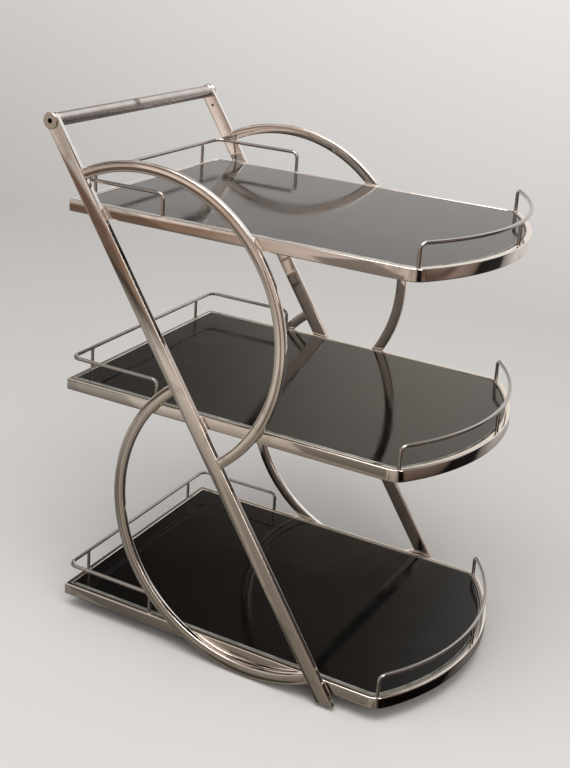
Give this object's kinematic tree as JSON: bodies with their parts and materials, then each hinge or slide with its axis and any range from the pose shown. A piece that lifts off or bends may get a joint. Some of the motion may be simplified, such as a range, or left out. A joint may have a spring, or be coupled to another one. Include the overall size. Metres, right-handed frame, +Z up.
{
  "type": "serving trolley",
  "caption": "Tiered serving trolley with leaning posts, side hoops, bowed dark glass shelves, low rod galleries and a round push handle.",
  "frame": {"origin": "on the floor, under the centre of the bounding box", "axes": "+X towards the bowed front, +Y to the pusher's left, +Z up"},
  "size_m": [0.711, 0.466, 0.8595],
  "materials": {
    "polished_tube": "mirror polished plating",
    "handle_metal": "satin, worn",
    "dark_glass": "glossy black, ground edge",
    "strip_steel": "plated",
    "zinc_steel": "bright zinc",
    "dark_screw": "blackened",
    "pad_rubber": "matte",
    "wheel_rubber": "matte"
  },
  "bodies": {
    "trolley": {"right_post": "polished_tube", "left_post": "polished_tube", "right_upper_hoop": "polished_tube", "left_upper_hoop": "polished_tube", "right_lower_hoop": "polished_tube", "left_lower_hoop": "polished_tube", "right_foot_cap": "polished_tube", "left_foot_cap": "polished_tube", "right_end_disc": "polished_tube", "left_end_disc": "polished_tube", "top_shelf_frame": "polished_tube", "middle_shelf_frame": "polished_tube", "bottom_shelf_frame": "polished_tube", "top_rear_gallery": "polished_tube", "middle_rear_gallery": "polished_tube", "bottom_rear_gallery": "polished_tube", "top_front_gallery": "polished_tube", "middle_front_gallery": "polished_tube", "bottom_front_gallery": "polished_tube", "handle_bar": "handle_metal", "right_handle_screw": "dark_screw", "left_handle_screw": "dark_screw", "top_ledge": "strip_steel", "middle_ledge": "strip_steel", "bottom_ledge": "strip_steel", "top_pads": "pad_rubber", "middle_pads": "pad_rubber", "bottom_pads": "pad_rubber", "top_glass": "dark_glass", "middle_glass": "dark_glass", "bottom_glass": "dark_glass", "rear_castor_strip": "strip_steel", "front_castor_strip": "strip_steel", "castor_screws": "zinc_steel", "rear_right_plate": "zinc_steel", "rear_left_plate": "zinc_steel", "front_right_plate": "zinc_steel", "front_left_plate": "zinc_steel"},
    "rear_right_castor": {"rear_right_fork": "zinc_steel", "rear_right_axle": "zinc_steel"},
    "rear_right_roller": {"rear_right_wheel": "wheel_rubber"},
    "rear_left_castor": {"rear_left_fork": "zinc_steel", "rear_left_axle": "zinc_steel"},
    "rear_left_roller": {"rear_left_wheel": "wheel_rubber"},
    "front_right_castor": {"front_right_fork": "zinc_steel", "front_right_axle": "zinc_steel"},
    "front_right_roller": {"front_right_wheel": "wheel_rubber"},
    "front_left_castor": {"front_left_fork": "zinc_steel", "front_left_axle": "zinc_steel"},
    "front_left_roller": {"front_left_wheel": "wheel_rubber"}
  },
  "joints": [
    {"name": "rear_right_swivel", "type": "hinge", "parent": "trolley", "child": "rear_right_castor", "pos_m": [-0.2545, -0.15, 0.027], "axis": [0, 0, 1], "continuous": true},
    {"name": "rear_right_roll", "type": "hinge", "parent": "rear_right_castor", "child": "rear_right_roller", "pos_m": [-0.2635, -0.15, 0.012], "axis": [0, 1, 0], "continuous": true},
    {"name": "rear_left_swivel", "type": "hinge", "parent": "trolley", "child": "rear_left_castor", "pos_m": [-0.2545, 0.15, 0.027], "axis": [0, 0, 1], "continuous": true},
    {"name": "rear_left_roll", "type": "hinge", "parent": "rear_left_castor", "child": "rear_left_roller", "pos_m": [-0.2635, 0.15, 0.012], "axis": [0, 1, 0], "continuous": true},
    {"name": "front_right_swivel", "type": "hinge", "parent": "trolley", "child": "front_right_castor", "pos_m": [0.2345, -0.15, 0.027], "axis": [0, 0, 1], "continuous": true},
    {"name": "front_right_roll", "type": "hinge", "parent": "front_right_castor", "child": "front_right_roller", "pos_m": [0.2255, -0.15, 0.012], "axis": [0, 1, 0], "continuous": true},
    {"name": "front_left_swivel", "type": "hinge", "parent": "trolley", "child": "front_left_castor", "pos_m": [0.2345, 0.15, 0.027], "axis": [0, 0, 1], "continuous": true},
    {"name": "front_left_roll", "type": "hinge", "parent": "front_left_castor", "child": "front_left_roller", "pos_m": [0.2255, 0.15, 0.012], "axis": [0, 1, 0], "continuous": true}
  ]
}
